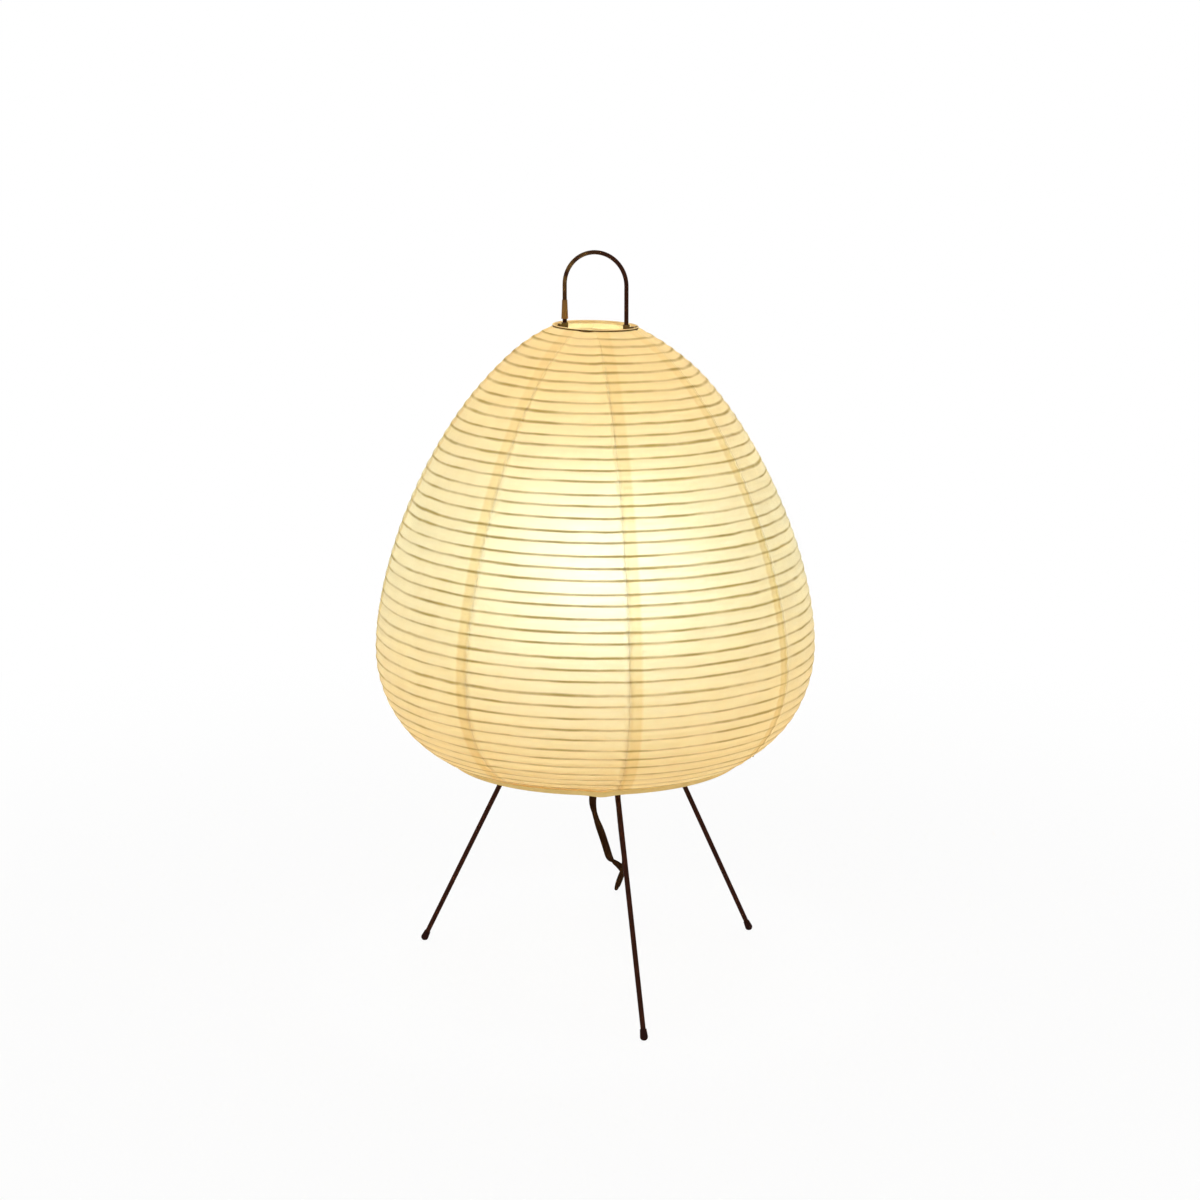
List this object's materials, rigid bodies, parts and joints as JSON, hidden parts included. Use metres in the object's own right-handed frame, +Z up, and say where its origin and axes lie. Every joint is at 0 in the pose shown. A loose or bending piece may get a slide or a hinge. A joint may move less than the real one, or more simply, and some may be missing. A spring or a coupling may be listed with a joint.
{
  "type": "table lamp",
  "caption": "Egg-shaped paper lantern lamp with a spiral rib, a wire carrying handle, splayed rod legs, a bulb and a switched cord.",
  "frame": {"origin": "on the lamp's axis, on the floor that the foot caps stand on", "axes": "+Z up the lamp's axis, -Y towards the front leg and the camera, +X to the camera's right"},
  "size_m": [0.2608, 0.5924, 0.4374],
  "materials": {
    "paper": "thin fibrous paper, lit from inside",
    "bamboo": "split bamboo",
    "dark_wire": "dark brown satin",
    "brass": "dull",
    "dark_metal": "dark brown satin",
    "rubber": "matt",
    "steel": "zinc plated",
    "holder_plastic": "matt",
    "ceramic": "glazed",
    "opal": "opal, lit from inside",
    "bulb_body": "white",
    "aluminium": "plain",
    "cord": "flat twin flex",
    "dark_plastic": "matt"
  },
  "bodies": {
    "lamp": {"paper_gore_1": "paper", "paper_gore_2": "paper", "paper_gore_3": "paper", "paper_gore_4": "paper", "paper_gore_5": "paper", "paper_gore_6": "paper", "paper_gore_7": "paper", "paper_gore_8": "paper", "bamboo_rib": "bamboo", "handle_frame": "dark_wire", "bottom_ring": "dark_wire", "frame_collars": "dark_wire", "frame_ferrule": "brass", "thread_shell": "brass", "centre_contact": "brass", "plug_blades": "brass", "terminal_screws": "brass", "leg_front": "dark_metal", "leg_left": "dark_metal", "leg_right": "dark_metal", "leg_hub": "dark_metal", "foot_cap_front": "rubber", "foot_cap_left": "rubber", "foot_cap_right": "rubber", "cord_grip": "rubber", "frame_nuts": "steel", "leg_set_screws": "steel", "stay_washer": "steel", "ring_stay_1": "steel", "ring_stay_2": "steel", "ring_stay_3": "steel", "nipple": "steel", "nipple_nut": "steel", "switch_screws": "steel", "rocker_pin": "steel", "lampholder_base": "holder_plastic", "lampholder_skirt": "holder_plastic", "lampholder_core": "ceramic", "cord_lamp": "cord", "cord_link": "cord", "cord_coil": "cord", "supply_leads": "cord", "switch_lower": "dark_plastic", "switch_upper": "dark_plastic", "plug_body": "dark_plastic", "plug_relief": "dark_plastic", "coil_tie": "dark_plastic"},
    "shade_top": {"top_ring": "dark_wire", "ring_clip_left": "dark_wire", "ring_clip_right": "dark_wire"},
    "bulb": {"bulb_tip": "steel", "bulb_insulator": "ceramic", "bulb_cap": "aluminium", "bulb_neck": "bulb_body", "bulb_board": "aluminium", "bulb_globe": "opal"},
    "rocker": {"switch_rocker": "dark_plastic"}
  },
  "joints": [
    {"name": "shade_collapse", "type": "slide", "parent": "lamp", "child": "shade_top", "axis": [0, 0, -1], "range_m": [0, 0.085], "deforming": ["paper_gore_1", "paper_gore_2", "paper_gore_3", "paper_gore_4", "paper_gore_5", "paper_gore_6", "paper_gore_7", "paper_gore_8", "bamboo_rib"]},
    {"name": "bulb_out", "type": "slide", "parent": "lamp", "child": "bulb", "axis": [0, 0, 1], "range_m": [0, 0.024]},
    {"name": "switch_rocker", "type": "hinge", "parent": "lamp", "child": "rocker", "pos_m": [-0.045, 0.408, 0.0093], "axis": [0, 1, 0], "range_deg": [-14, 0]}
  ]
}
